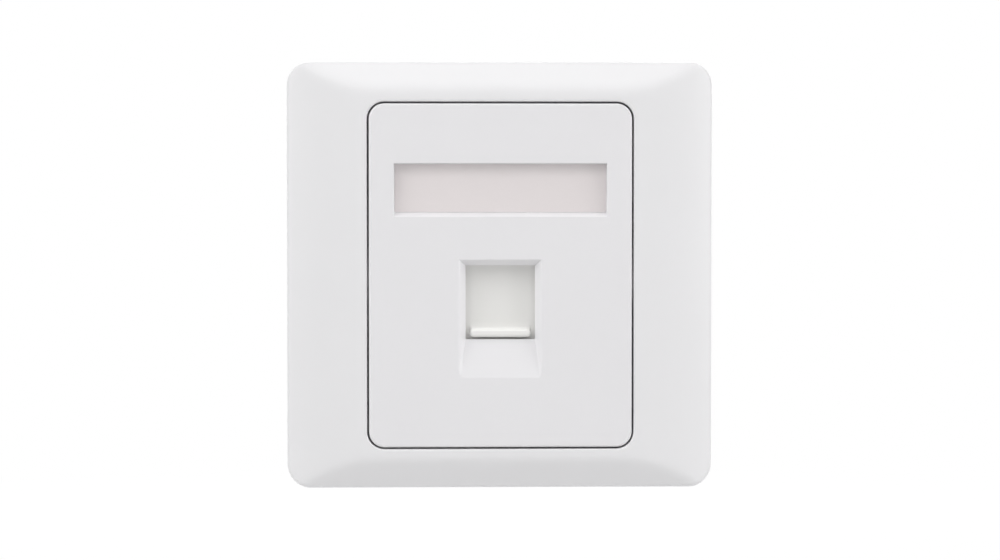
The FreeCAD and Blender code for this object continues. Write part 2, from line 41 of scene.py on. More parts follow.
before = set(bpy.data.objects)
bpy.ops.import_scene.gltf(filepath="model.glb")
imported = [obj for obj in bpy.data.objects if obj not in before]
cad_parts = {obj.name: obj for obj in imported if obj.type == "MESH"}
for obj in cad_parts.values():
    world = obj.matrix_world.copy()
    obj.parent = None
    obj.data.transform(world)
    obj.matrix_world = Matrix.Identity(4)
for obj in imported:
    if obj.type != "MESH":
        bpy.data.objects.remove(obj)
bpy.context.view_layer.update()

MM = 0.001

# Outer frame: the inputs of its geometry tree, with heights measured out of the wall
frame_low, frame_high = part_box("outer_frame")
FRAME_SIZES = {
    "Front": -frame_low.y,
    "Half-width": frame_high.x,
    "Corner": 4.8 * MM,
    "Opening half-width": 26.8 * MM,
    "Opening half-height": 34.9 * MM,
    "Opening corner": 3.5 * MM,
    "Cheek start": 24.3 * MM,        # half-width where the round cheeks start
    "Cheek radius": 39.5 * MM,
    "Bevel start": 37.2 * MM,        # half-height where the plane bevels start
    "Bevel slope": math.radians(30),
    "Ridge softness": 1.25 * MM,     # how softly cheeks and bevels meet
    "Opening edge": 0.32 * MM,       # rounding of the opening's front edge
    "Rim edge": 0.7 * MM,            # rounding of the rim's front edge
    "Wall": 1.8 * MM,
    "Skirt wall": 1.4 * MM,          # skirt round the opening
    "Skirt foot": 4.6 * MM,
    "Notch width": 9.0 * MM,         # notch in the bottom edge, where the frame is pried off
    "Notch height": 1.4 * MM,
    "Screw room": 11.0 * MM,         # gap in the skirt beside each screw head
    "Hook across": 34.3 * MM,        # middle of a hook's leg, from the frame's middle
    "Hook up": 24.0 * MM,            # and as far down, for the lower hooks
    "Hook leg": 1.4 * MM,            # thickness of the leg
    "Hook width": 8.0 * MM,
    "Hook bite": 0.75 * MM,          # reach of the barb
    "Hook tip": 0.6 * MM,
    "Hook catch": 2.2 * MM,          # height of the barb's catch
    "Hook root": 6.6 * MM,           # height of the root in the cheek
}
QUARTER_STEPS = 40                   # steps along a quarter of the frame's outline
STRAIGHT_SHARE = 0.3                 # share of a quarter on each straight stretch; the rest is the corner
# Rows up the skirt, round the opening's edge, over the crown, round the rim and down the side
FRONT_ROWS = (2, 6, 32, 8, 2)
# Rows along the side wall's foot, up its inside, under the crown, down the skirt and along its foot
REAR_ROWS = (1, 2, 14, 2, 1)
# Rows of a hook's point, barb, catch and shank
HOOK_ROWS = (1, 1, 1, 1)
SKIN_MERGE = 0.002 * MM              # points of the front and rear skins that are closer are one
FRAME_CREASE = math.radians(38)      # edges sharper than this stay sharp

# Shutter: outlines as (half-width, half-height, corner radius, height of the middle)
SHUTTER_OUTLINE = (8.4 * MM, 8.75 * MM, 1.2 * MM, -4.85 * MM)
SHUTTER_DEPTHS = (4.45 * MM, 5.65 * MM)    # rear and front face, out of the wall
SHUTTER_EDGE = 0.15 * MM
LIP_OUTLINE = (6.1 * MM, 0.81 * MM, 0.8 * MM, -11.61 * MM)
LIP_FRONT = 7.75 * MM
LIP_EDGE = 0.55 * MM
LIP_ROOT = 0.15 * MM                       # fillet below and beside the lip
LIP_HOLLOW = (1.5 * MM, 0.4 * MM)          # height and depth of the fillet above the lip
PEG = (0.55 * MM, 3.6 * MM, 6.3 * MM)      # radius, root in the shutter, tip
PEG_EDGE = 0.15 * MM
PEG_SIDES = 24
CORNER_STEPS = 6                           # steps round a corner or a rounded edge

# Spring: the inputs of its geometry tree
SPRING_DEPTH = -5.05 * MM                  # Y of the spring's and its pegs' middle line
SPRING_SIZES = {
    "Foot": 3.95 * MM,
    "Top": 29.95 * MM,
    "Coil radius": 1.05 * MM,
    "Wire radius": 0.15 * MM,
    "Turns": 11,
    "Depth": SPRING_DEPTH,
}
COIL_STEPS = 440
WIRE_SIDES = 10
CLOSED_RISE = 2.1                          # rise of the closed turn at each end, in radii of the wire
SPRING_CREASE = math.radians(60)

# Pieces softened from the construction: widths of their rounded edges
PANEL_EDGE = 0.12 * MM
COVER_EDGE = 0.08 * MM
CRADLE_EDGE = 0.15 * MM
EDGE_SEGMENTS = 3
SHARP_ANGLE = math.radians(30)             # edges sharper than this are rounded
FLAT_ANGLE = math.radians(0.5)             # facets closer to one plane than this are one face
MERGE = 0.0005 * MM                        # points closer than this are one
FACE_WEIGHT = 100                          # how far large faces lead the shading beside them

# Label card
CARD_GAP = 0.02 * MM                       # air between the card and its cover
CARD_WAVE = 0.03 * MM                      # height of the card's waves
CARD_FACES = (84, 20)                      # faces across and up
WAVE_ACROSS = 9.0                          # radians of the waves over the card's width and height
WAVE_UP = 5.0
WAVE_START = 2.0                           # phase of the waves at the card's middle
CARD_CREASE = math.radians(40)

# Finishes: sizes of their patterns, and how far these change the colour or the roughness
PLASTIC_GRAIN = 0.22 * MM
PLASTIC_RELIEF = 0.004 * MM
PLASTIC_CLOUD = 14.0 * MM
CLOUD_TINT = 0.012
GLOSS_SWING = 0.05
PAPER_FIBRE = 0.3 * MM
PAPER_RELIEF = 0.01 * MM
FIBRE_TINT = 0.03
FIBRE_SCALE = (0.25, 1.0, 1.0)             # fibres run across the card
COVER_WAVE = 6.0 * MM
COVER_RELIEF = 0.01 * MM
WIRE_STREAK = 0.1 * MM
STREAK_SCALE = (0.3, 0.3, 3.0)             # streaks run round the coil, as the wire does
NOISE_RANGE = (0.3, 0.7)                   # range in which most of a noise pattern lies

# Camera, from the photo's frame of 1000 by 560 pixels
PHOTO_WIDTH = 1000
RIM_HEIGHT = 4.3 * MM               # height of the frame's rim, where the scale below holds
PIXELS_PER_MM = 4.942
OBJECT_MIDDLE = (-0.15, 5.15)       # pixels from the photo's middle to the plate's middle, right and up
LENS = 105.0
SENSOR = 36.0
CLIP_START = 0.01
CAMERA_ELEVATION = math.radians(2.0)
CAMERA_TURN = math.radians(-1.8)    # from straight ahead to the left

# Soft square lamps round the plate: name, place, side and power in watts
LAMPS = [
    ("lamp_key", (-0.7, -0.7, 0.75), 0.6, 4.7),
    ("lamp_fill", (0.7, -0.7, 0.75), 0.6, 2.6),
    ("lamp_above", (0.0, -0.45, 1.08), 0.6, 4.8),
    ("lamp_left", (-1.2, -0.44, 0.2), 0.6, 4.2),
    ("lamp_right", (1.2, -0.44, 0.2), 0.6, 6.2),
    ("lamp_rear", (0.0, 0.6, 0.35), 0.9, 4.8),
]

# Floor and surroundings
WORLD_LIGHT = 0.03
FLOOR_HEIGHT = -0.10
FLOOR_REACH = 8.0
FLOOR_TONE = 0.9                    # shade of the floor that takes the plate's shadow
FLOOR_BOUNCE = 0.84                 # shade with which the floor lights the plate from below
FLOOR_WHITENESS = 0.75              # share of plain white in the floor under the plate, as it is seen
WHITE_REACH = 0.6                   # distance from the plate at which the floor is plain white


# Node trees

class Rule:
    """A number in a node tree, so that a rule is written as a formula."""

    def __init__(self, tree, socket):
        self.tree = tree
        self.socket = socket

    def then(self, operation, *others):
        """The result of a maths node on this number and others."""
        return maths(self.tree, operation, self, *others)

    def __add__(self, other):
        return self.then("ADD", other)

    def __sub__(self, other):
        return self.then("SUBTRACT", other)

    def __rsub__(self, other):
        return maths(self.tree, "SUBTRACT", other, self)

    def __mul__(self, other):
        return self.then("MULTIPLY", other)

    def __truediv__(self, other):
        return self.then("DIVIDE", other)

    def __rtruediv__(self, other):
        return maths(self.tree, "DIVIDE", other, self)

    def __neg__(self):
        return self.then("MULTIPLY", -1.0)


def add_node(tree, kind, inputs=None, **settings):
    """Adds a node, sets its properties, and links or sets its inputs."""
    node = tree.nodes.new(kind)
    for key, value in settings.items():
        setattr(node, key, value)
    for key, value in (inputs or {}).items():
        source = value.socket if isinstance(value, Rule) else value
        if isinstance(source, bpy.types.NodeSocket):
            tree.links.new(source, node.inputs[key])
        else:
            node.inputs[key].default_value = source
    return node


def maths(tree, operation, *values):
    """Maths node on rules and plain numbers."""
    node = add_node(tree, "ShaderNodeMath", dict(enumerate(values)), operation=operation)
    return Rule(tree, node.outputs[0])


def any_ray(tree, *kinds):
    """1 for a ray of any of these kinds, and otherwise 0."""
    path = add_node(tree, "ShaderNodeLightPath")
    found, *others = [Rule(tree, path.outputs[kind]) for kind in kinds]
    for other in others:
        found = found.then("MAXIMUM", other)
    return found


# Materials

def new_material(name):
    """Empty node material, with its node tree."""
    material = bpy.data.materials.new(name)
    material.use_nodes = True
    material.node_tree.nodes.clear()
    return material, material.node_tree


def finish_material(tree, shader):
    """Joins the shader to the material's output."""
    add_node(tree, "ShaderNodeOutputMaterial", {"Surface": shader.outputs[0]})


def grey(level):
    """Grey of this level, with full alpha."""
    return (level, level, level, 1.0)


def shade(colour, factor):
    """The colour made lighter or darker, with full alpha."""
    return tuple(min(channel * factor, 1.0) for channel in colour) + (1.0,)


def noise(tree, grain, detail, scale=None):
    """Noise pattern over a piece, in grains of this size, longer along an axis with a scale under 1."""
    place = add_node(tree, "ShaderNodeTexCoord").outputs["Object"]
    if scale:
        place = add_node(tree, "ShaderNodeMapping", {"Vector": place, "Scale": scale}).outputs[0]
    texture = add_node(tree, "ShaderNodeTexNoise", {"Vector": place, "Scale": 1 / grain, "Detail": detail})
    return texture.outputs["Fac"]


def tinted(tree, pattern, first, second):
    """Colour that follows a pattern from the first colour to the second."""
    mix = add_node(tree, "ShaderNodeMix", {"Factor": pattern, "A": first, "B": second}, data_type="RGBA")
    return mix.outputs["Result"]


def uneven(tree, pattern, low, high):
    """Number that follows a noise pattern from low to high."""
    start, end = NOISE_RANGE
    limits = {"From Min": start, "From Max": end, "To Min": low, "To Max": high}
    return add_node(tree, "ShaderNodeMapRange", {"Value": pattern, **limits}).outputs["Result"]


def bumped(tree, pattern, relief, strength):
    """Surface direction that follows a pattern as a relief of this depth."""
    bump = add_node(tree, "ShaderNodeBump", {"Height": pattern, "Distance": relief, "Strength": strength})
    return bump.outputs["Normal"]


def moulded_plastic(name, colour, roughness=0.42):
    """Satin moulded plastic: fine spark-eroded grain, slightly uneven gloss and a faint cloudiness."""
    material, tree = new_material(name)
    cloud = noise(tree, PLASTIC_CLOUD, detail=3.0)
    grain = noise(tree, PLASTIC_GRAIN, detail=2.0)
    shader = add_node(
        tree, "ShaderNodeBsdfPrincipled",
        {
            "Base Color": tinted(tree, cloud, shade(colour, 1 - CLOUD_TINT), shade(colour, 1 + CLOUD_TINT)),
            "Roughness": uneven(tree, grain, low=roughness - GLOSS_SWING, high=roughness + GLOSS_SWING),
            "Normal": bumped(tree, grain, PLASTIC_RELIEF, strength=0.5),
            "IOR": 1.5,
        },
    )
    finish_material(tree, shader)
    return material


def card_paper(name, colour):
    """Uncoated card: short fibres in the colour and a soft tooth."""
    material, tree = new_material(name)
    fibre = noise(tree, PAPER_FIBRE, detail=4.0, scale=FIBRE_SCALE)
    shader = add_node(
        tree, "ShaderNodeBsdfPrincipled",
        {
            "Base Color": tinted(tree, fibre, shade(colour, 1 - FIBRE_TINT), shade(colour, 1 + FIBRE_TINT)),
            "Roughness": 0.9,
            "Normal": bumped(tree, fibre, PAPER_RELIEF, strength=0.5),
        },
    )
    finish_material(tree, shader)
    return material


def clear_plastic(name):
    """Polished clear cover with a slight waviness, which lets the lamps light the card under it."""
    material, tree = new_material(name)
    wave = noise(tree, COVER_WAVE, detail=1.0)
    glass = add_node(
        tree, "ShaderNodeBsdfPrincipled",
        {
            "Base Color": grey(1.0),
            "Roughness": 0.05,
            "IOR": 1.49,
            "Transmission Weight": 1.0,
            "Normal": bumped(tree, wave, COVER_RELIEF, strength=0.3),
        },
    )
    passed = add_node(tree, "ShaderNodeBsdfTransparent", {"Color": grey(0.98)})
    lights_card = any_ray(tree, "Is Shadow Ray", "Is Diffuse Ray")
    mixed = add_node(
        tree, "ShaderNodeMixShader", {"Fac": lights_card, 1: glass.outputs[0], 2: passed.outputs[0]}
    )
    finish_material(tree, mixed)
    return material


def drawn_steel(name):
    """Drawn spring wire: fine streaks along the wire and a dull shine."""
    material, tree = new_material(name)
    streak = noise(tree, WIRE_STREAK, detail=3.0, scale=STREAK_SCALE)
    shader = add_node(
        tree, "ShaderNodeBsdfPrincipled",
        {
            "Base Color": tinted(tree, streak, (0.50, 0.50, 0.51, 1.0), grey(0.66)),
            "Roughness": uneven(tree, streak, low=0.22, high=0.38),
            "Metallic": 1.0,
        },
    )
    finish_material(tree, shader)
    return material


FRAME_PLASTIC = moulded_plastic("frame_plastic", (0.790, 0.786, 0.796))
PANEL_PLASTIC = moulded_plastic("panel_plastic", (0.785, 0.778, 0.792))
SHUTTER_PLASTIC = moulded_plastic("shutter_plastic", (0.828, 0.823, 0.802), roughness=0.36)
CRADLE_PLASTIC = moulded_plastic("cradle_plastic", (0.74, 0.74, 0.73), roughness=0.5)
LABEL_PAPER = card_paper("label_paper", (0.757, 0.705, 0.705))
COVER_PLASTIC = clear_plastic("clear_plastic")
SPRING_STEEL = drawn_steel("spring_steel")


# Pieces

def new_piece(name, mesh):
    """Object with a mesh, in the scene."""
    piece = bpy.data.objects.new(name, mesh)
    bpy.context.scene.collection.objects.link(piece)
    return piece


def bake(piece):
    """Turns a piece's modifiers into plain mesh."""
    depsgraph = bpy.context.evaluated_depsgraph_get()
    mesh = bpy.data.meshes.new_from_object(piece.evaluated_get(depsgraph))
    piece.modifiers.clear()
    piece.data = mesh
    mesh.name = piece.name


def piece_from_tree(name, tree, sizes):
    """Plain mesh piece made by a geometry tree with these sizes."""
    piece = new_piece(name, bpy.data.meshes.new(name))
    modifier = piece.modifiers.new("shape", "NODES")
    modifier.node_group = tree
    for item in tree.interface.items_tree:
        if item.in_out == "INPUT":
            modifier[item.identifier] = float(sizes[item.name])
    bake(piece)
    return piece


def piece_from_shape(name, shape, material):
    """Piece with the faces of an edited shape, which is used up, and one material."""
    mesh = bpy.data.meshes.new(name)
    shape.to_mesh(mesh)
    shape.free()
    mesh.materials.append(material)
    return new_piece(name, mesh)


def smooth(piece, crease):
    """Smooth shading, apart from edges sharper than the crease angle."""
    piece.data.shade_smooth()
    piece.data.set_sharp_from_angle(angle=crease)


def lead_by_large_faces(piece):
    """Keeps large faces evenly shaded up to the rounded edges beside them."""
    even = piece.modifiers.new("even", "WEIGHTED_NORMAL")
    even.weight = FACE_WEIGHT


# Shapes that follow a rule

def stretch(value, start, end):
    """Runs from 0 to 1 while the value goes from start to end."""
    node = add_node(value.tree, "ShaderNodeClamp", {"Value": (value - start) / (end - start)})
    return Rule(value.tree, node.outputs[0])


def stretches(share, rows):
    """For each run of rows, a rule that goes from 0 to 1 over that run's part of the share."""
    ends = list(itertools.accumulate(rows, initial=0))
    total = ends[-1]
    return [stretch(share, start / total, end / total) for start, end in zip(ends, ends[1:])]


def new_tree(name, sizes):
    """Geometry tree with a named input for each size, returned with those inputs as rules."""
    tree = bpy.data.node_groups.new(name, "GeometryNodeTree")
    tree.interface.new_socket("Geometry", in_out="OUTPUT", socket_type="NodeSocketGeometry")
    for label in sizes:
        tree.interface.new_socket(label, in_out="INPUT", socket_type="NodeSocketFloat")
    entry = add_node(tree, "NodeGroupInput")
    return tree, {label: Rule(tree, entry.outputs[label]) for label in sizes}


def finish_tree(tree, geometry, material):
    """Ends a tree: instances made real, material set."""
    real = realized(tree, geometry)
    dressed = add_node(tree, "GeometryNodeSetMaterial", {"Geometry": real, "Material": material})
    add_node(tree, "NodeGroupOutput", {"Geometry": dressed.outputs[0]})


def vector(tree, x, y, z):
    """Vector of three rules or plain numbers."""
    return add_node(tree, "ShaderNodeCombineXYZ", {"X": x, "Y": y, "Z": z}).outputs[0]


def own_place(tree):
    """Rules for the X, Y and Z of each point."""
    position = add_node(tree, "GeometryNodeInputPosition").outputs[0]
    spot = add_node(tree, "ShaderNodeSeparateXYZ", {"Vector": position})
    return [Rule(tree, output) for output in spot.outputs]


def placed(tree, geometry, x, y, z):
    """The geometry with each point moved to the place that the rules give."""
    inputs = {"Geometry": geometry, "Position": vector(tree, x, y, z)}
    return add_node(tree, "GeometryNodeSetPosition", inputs).outputs["Geometry"]


def realized(tree, geometry):
    """The geometry with its instances made real."""
    return add_node(tree, "GeometryNodeRealizeInstances", {"Geometry": geometry}).outputs[0]


def merged(tree, geometry, distance):
    """The geometry with points closer than the distance made one."""
    inputs = {"Geometry": geometry, "Distance": distance}
    return add_node(tree, "GeometryNodeMergeByDistance", inputs).outputs[0]


def joined(tree, geometries):
    """Several geometries as one."""
    node = add_node(tree, "GeometryNodeJoinGeometry")
    for geometry in geometries:
        tree.links.new(geometry, node.inputs[0])
    return node.outputs[0]


# Outer frame

def outline_point(share, half_width, half_height, corner):
    """Point of a rounded rectangle at a share of the way round, from the middle of its right side."""
    quarter = (share * 4.0).then("PINGPONG", 1.0)
    up = stretch(quarter, 0.0, STRAIGHT_SHARE)
    turn = stretch(quarter, STRAIGHT_SHARE, 1 - STRAIGHT_SHARE) * (math.pi / 2)
    across = 1.0 - stretch(quarter, 1 - STRAIGHT_SHARE, 1.0)
    side_x = (share * math.tau).then("COSINE").then("SIGN")
    side_y = (share * math.tau).then("SINE").then("SIGN")
    x = side_x * ((half_width - corner) * across + corner * turn.then("COSINE"))
    y = side_y * ((half_height - corner) * up + corner * turn.then("SINE"))
    return x, y


def crown_height(x, y, size, inset, softness):
    """Height of the frame's front, or of its inside when inset: round cheeks and plane bevels."""
    top = size["Front"] - inset
    radius = size["Cheek radius"] - inset
    past = (x.then("ABSOLUTE") - size["Cheek start"]).then("MAXIMUM", 0.0)
    cheek = top - radius + (radius * radius - past * past).then("SQRT")
    slope = size["Bevel slope"].then("TANGENT")
    start = size["Bevel start"] - (size["Bevel slope"] / 2.0).then("TANGENT") * inset
    bevel = top - (y.then("ABSOLUTE") - start) * slope
    return cheek.then("SMOOTH_MIN", bevel, softness)


def outline_strip(tree, rows):
    """Flat strip of the outline's steps by runs of rows, with rules for the way round and each run."""
    grid = add_node(
        tree, "GeometryNodeMeshGrid",
        {"Size X": 1.0, "Size Y": 1.0, "Vertices X": 4 * QUARTER_STEPS + 1, "Vertices Y": sum(rows) + 1},
    )
    x, y, _ = own_place(tree)
    return grid.outputs["Mesh"], x + 0.5, stretches(y + 0.5, rows)


def front_skin(tree, size):
    """Skirt's inside, opening edge, crown, rim and side wall, from the skirt's foot round to the wall."""
    grid, along, (rise, edging, reach, rimming, fall) = outline_strip(tree, FRONT_ROWS)
    edge_turn = edging * (math.pi / 2)
    rim_turn = rimming * (math.pi / 2)
    edge = size["Opening edge"]
    rim = size["Rim edge"]
    foot = size["Skirt foot"]
    out = edge * (1.0 - edge_turn.then("COSINE")) + rim * rim_turn.then("SINE")

    def grown(opening, outer):
        return size[opening] + out + reach * (size[outer] - rim - size[opening] - edge)

    x, y = outline_point(
        along, grown("Opening half-width", "Half-width"), grown("Opening half-height", "Half-width"),
        grown("Opening corner", "Corner"),
    )
    crown = crown_height(x, y, size, 0.0, size["Ridge softness"])
    lift = crown - edge * (1.0 - edge_turn.then("SINE")) - rim * (1.0 - rim_turn.then("COSINE"))
    height = (foot + rise * (lift - foot)) * (1.0 - fall)
    return placed(tree, grid, x, -height, y)


def rear_skin(tree, size):
    """Foot of the side wall, its inside, the roof under the crown, and the skirt's outside and foot."""
    grid, along, (foot, rise, reach, fall, close) = outline_strip(tree, REAR_ROWS)
    wall = size["Wall"]
    skirt = size["Skirt wall"]

    def shrunk(outer, opening):
        inside = size[outer] - wall * foot
        return inside - reach * (size[outer] - wall - size[opening] - skirt) - skirt * close

    x, y = outline_point(
        along, shrunk("Half-width", "Opening half-width"), shrunk("Half-width", "Opening half-height"),
        shrunk("Corner", "Opening corner"),
    )
    roof = crown_height(x, y, size, wall, 0.0)
    height = rise * (roof - fall * (roof - size["Skirt foot"]))
    return placed(tree, grid, x, -height, y)


def slab(tree, size, middle):
    """Box of the given size round a point."""
    cube = add_node(tree, "GeometryNodeMeshCube", {"Size": vector(tree, *size)})
    inputs = {"Geometry": cube.outputs["Mesh"], "Translation": vector(tree, *middle)}
    return add_node(tree, "GeometryNodeTransform", inputs).outputs[0]


def cutters(tree, size):
    """Boxes for the pry notch and the gaps beside the screw heads, which reach past the walls they cut."""
    wall = size["Wall"]
    notch_size = (size["Notch width"], size["Notch height"] * 2.0, wall * 4.0)
    screw_size = (size["Half-width"] * 1.5, (size["Front"] - wall) * 2.0, size["Screw room"])
    notch = slab(tree, notch_size, (0.0, 0.0, -size["Half-width"]))
    return joined(tree, [notch, slab(tree, screw_size, (0.0, 0.0, 0.0))])


def hook_pair(tree, size):
    """Two hooks under the right cheek: a leg with a barb that catches behind the tray."""
    leg = size["Hook leg"]
    taper = leg / 3.0
    bite = size["Hook bite"]
    tip = size["Hook tip"]
    catch = size["Hook catch"]
    up = size["Hook up"]
    cube = add_node(tree, "GeometryNodeMeshCube", {"Size": (1, 1, 1), "Vertices Z": sum(HOOK_ROWS) + 1})
    x, y, z = own_place(tree)
    point, barb, catch_face, shank = stretches(z + 0.5, HOOK_ROWS)
    swell = (taper + bite) * point - bite * catch_face - taper
    across = (x + 0.5) * (swell + leg) + (size["Hook across"] - leg / 2.0)
    slant = bite / 2.0
    height = (catch - slant - tip) * point + slant * barb + (size["Hook root"] - catch) * shank + tip
    hook = placed(tree, cube.outputs["Mesh"], across, -height, y * size["Hook width"])
    places = add_node(
        tree, "GeometryNodeMeshLine",
        {"Count": 2, "Start Location": vector(tree, 0, 0, -up), "Offset": vector(tree, 0, 0, up * 2.0)},
    )
    hooks = add_node(
        tree, "GeometryNodeInstanceOnPoints", {"Points": places.outputs["Mesh"], "Instance": hook}
    )
    return realized(tree, hooks.outputs["Instances"])


def half_turned(tree, geometry):
    """The geometry turned half round about the wall's normal."""
    inputs = {"Geometry": geometry, "Rotation": (0, math.pi, 0)}
    return add_node(tree, "GeometryNodeTransform", inputs).outputs[0]


def frame_tree():
    """Geometry tree of the outer frame: one closed skin with hooks, screw gaps and the pry notch."""
    tree, size = new_tree("crowned_frame", FRAME_SIZES)
    skins = joined(tree, [front_skin(tree, size), rear_skin(tree, size)])
    closed = merged(tree, skins, SKIN_MERGE)
    outward = add_node(tree, "GeometryNodeFlipFaces", {"Mesh": closed}).outputs[0]
    cut = add_node(
        tree, "GeometryNodeMeshBoolean", {"Mesh 1": outward, "Mesh 2": cutters(tree, size)},
        operation="DIFFERENCE",
    )
    right_hooks = hook_pair(tree, size)
    whole = add_node(tree, "GeometryNodeMeshBoolean", operation="UNION")
    for part in (cut.outputs["Mesh"], right_hooks, half_turned(tree, right_hooks)):
        tree.links.new(part, whole.inputs["Mesh 2"])
    finish_tree(tree, merged(tree, whole.outputs["Mesh"], MERGE), FRAME_PLASTIC)
    return tree


def make_frame():
    """Crowned outer frame."""
    piece = piece_from_tree("crowned_frame", frame_tree(), FRAME_SIZES)
    smooth(piece, FRAME_CREASE)
    return piece


# Spring

def spring_tree():
    """Geometry tree of a compression spring with closed ends, wound round the +Z axis."""
    tree, size = new_tree("shutter_coil", SPRING_SIZES)
    line = add_node(tree, "GeometryNodeCurvePrimitiveLine", {"End": (0, 0, 1)})
    route = add_node(tree, "GeometryNodeResampleCurve", {"Curve": line.outputs[0], "Count": COIL_STEPS})
    share = Rule(tree, add_node(tree, "GeometryNodeSplineParameter").outputs["Factor"])
    wire = size["Wire radius"]
    radius = size["Coil radius"]
    closed = 1.0 / size["Turns"]
    low = size["Foot"] + wire
    high = size["Top"] - wire
    end_rise = wire * CLOSED_RISE
    ends = stretch(share, 0.0, closed) + stretch(share, 1.0 - closed, 1.0)
    open_turns = stretch(share, closed, 1.0 - closed)
    height = low + end_rise * ends + (high - low - end_rise * 2.0) * open_turns
    angle = share * size["Turns"] * math.tau
    x = radius * angle.then("COSINE")
    y = size["Depth"] + radius * angle.then("SINE")
    wound = placed(tree, route.outputs[0], x, y, height)
    section = add_node(tree, "GeometryNodeCurvePrimitiveCircle", {"Resolution": WIRE_SIDES, "Radius": wire})
    coil = add_node(
        tree, "GeometryNodeCurveToMesh",
        {"Curve": wound, "Profile Curve": section.outputs[0], "Fill Caps": True},
    )
    finish_tree(tree, coil.outputs[0], SPRING_STEEL)
    return tree


def make_spring():
    """Spring above the shutter."""
    piece = piece_from_tree("coil_spring", spring_tree(), SPRING_SIZES)
    smooth(piece, SPRING_CREASE)
    return piece


# Pieces softened from the construction

def softened(node, name, material, edge):
    """Copy of a node with its facets joined into whole faces and its sharp edges rounded."""
    shape = bmesh.new()
    shape.from_mesh(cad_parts[node].data)
    bmesh.ops.remove_doubles(shape, verts=shape.verts, dist=MERGE)
    bmesh.ops.dissolve_limit(
        shape, angle_limit=FLAT_ANGLE, verts=shape.verts, edges=shape.edges, delimit={"NORMAL"}
    )
    piece = piece_from_shape(name, shape, material)
    piece.data.shade_smooth()
    bevel = piece.modifiers.new("edges", "BEVEL")
    bevel.width = edge
    bevel.segments = EDGE_SEGMENTS
    bevel.limit_method = "ANGLE"
    bevel.angle_limit = SHARP_ANGLE
    bevel.harden_normals = True
    bevel.use_clamp_overlap = True
    lead_by_large_faces(piece)
    bake(piece)
    return piece


def make_panel():
    """Centre plate with the port and the label recess."""
    return softened("centre_plate", "panel_moulding", PANEL_PLASTIC, PANEL_EDGE)


def make_cover():
    """Clear cover over the label."""
    return softened("label_window", "clear_cover", COVER_PLASTIC, COVER_EDGE)


def make_cradle():
    """Rear plate that holds the jack."""
    return softened("jack_cradle", "jack_holder", CRADLE_PLASTIC, CRADLE_EDGE)


# Shutter

def outline_ring(half_width, half_height, corner, depth, middle):
    """Points of a rounded rectangle round a height, seen from the front, at a depth out of the wall."""
    ring = []
    for quarter in range(4):
        side_x = 1 if quarter in (0, 3) else -1
        side_z = 1 if quarter in (0, 1) else -1
        for step in range(CORNER_STEPS + 1):
            angle = math.pi / 2 * (quarter + step / CORNER_STEPS)
            x = side_x * (half_width - corner) + corner * math.cos(angle)
            z = side_z * (half_height - corner) + corner * math.sin(angle)
            ring.append((x, -depth, middle + z))
    return ring


def lofted(name, rings, material):
    """Closed piece through rings of points, from the first one to the last one."""
    shape = bmesh.new()
    loops = [[shape.verts.new(point) for point in ring] for ring in rings]
    shape.faces.new(loops[0])
    shape.faces.new(list(reversed(loops[-1])))
    count = len(loops[0])
    for rear, front in zip(loops, loops[1:]):
        for k in range(count):
            after = (k + 1) % count
            shape.faces.new((rear[after], rear[k], front[k], front[after]))
    bmesh.ops.recalc_face_normals(shape, faces=shape.faces)
    piece = piece_from_shape(name, shape, material)
    piece.data.shade_smooth()
    return piece


def rounding(radius, outward):
    """Steps of a quarter-round as (inset, rise): an outer edge, or an inner corner when not outward."""
    turns = [math.pi / 2 * step / CORNER_STEPS for step in range(CORNER_STEPS + 1)]
    if outward:
        return [(radius * (1 - math.cos(turn)), radius * math.sin(turn)) for turn in turns]
    return [(radius * math.sin(turn), radius * (1 - math.cos(turn))) for turn in turns]


def inset_ring(outline, inset, depth):
    """Ring of an outline drawn in by an inset, at a depth out of the wall."""
    half_width, half_height, corner, middle = outline
    return outline_ring(half_width - inset, half_height - inset, corner - inset, depth, middle)


def plate_rings():
    """Rings of the shutter's plate, from its rear edge to its front edge, both rounded."""
    rear, front = SHUTTER_DEPTHS
    steps = [(SHUTTER_EDGE - inset, rear + rise) for inset, rise in rounding(SHUTTER_EDGE, False)]
    steps += [(inset, front - SHUTTER_EDGE + rise) for inset, rise in rounding(SHUTTER_EDGE, True)]
    return [inset_ring(SHUTTER_OUTLINE, inset, depth) for inset, depth in steps]


def lip_root_rings():
    """Rings of the fillet between the plate's front and the finger lip, highest above the lip."""
    front = SHUTTER_DEPTHS[1]
    half_width, half_height, corner, middle = LIP_OUTLINE
    height_above, reach = LIP_HOLLOW
    rings = []
    for inset, rise in rounding(1.0, False):
        flare = LIP_ROOT * (1.0 - inset)
        lift = (height_above - LIP_ROOT) * (1.0 - inset) / 2
        depth = front + reach * rise
        rings.append(
            outline_ring(half_width + flare, half_height + flare + lift, corner + flare, depth, middle + lift)
        )
    return rings


def lip_rings():
    """Rings of the lip's rounded front edge."""
    steps = rounding(LIP_EDGE, True)
    return [inset_ring(LIP_OUTLINE, inset, LIP_FRONT - LIP_EDGE + rise) for inset, rise in steps]


def peg_rings():
    """Rings of the peg on the shutter's head, with a rounded tip."""
    radius, root, tip = PEG
    heights = [(root, 0.0)] + [(tip - PEG_EDGE + rise, inset) for inset, rise in rounding(PEG_EDGE, True)]
    turns = [math.tau * step / PEG_SIDES for step in range(PEG_SIDES)]
    return [
        [
            ((radius - inset) * math.cos(turn), SPRING_DEPTH + (radius - inset) * math.sin(turn), height)
            for turn in turns
        ]
        for height, inset in heights
    ]


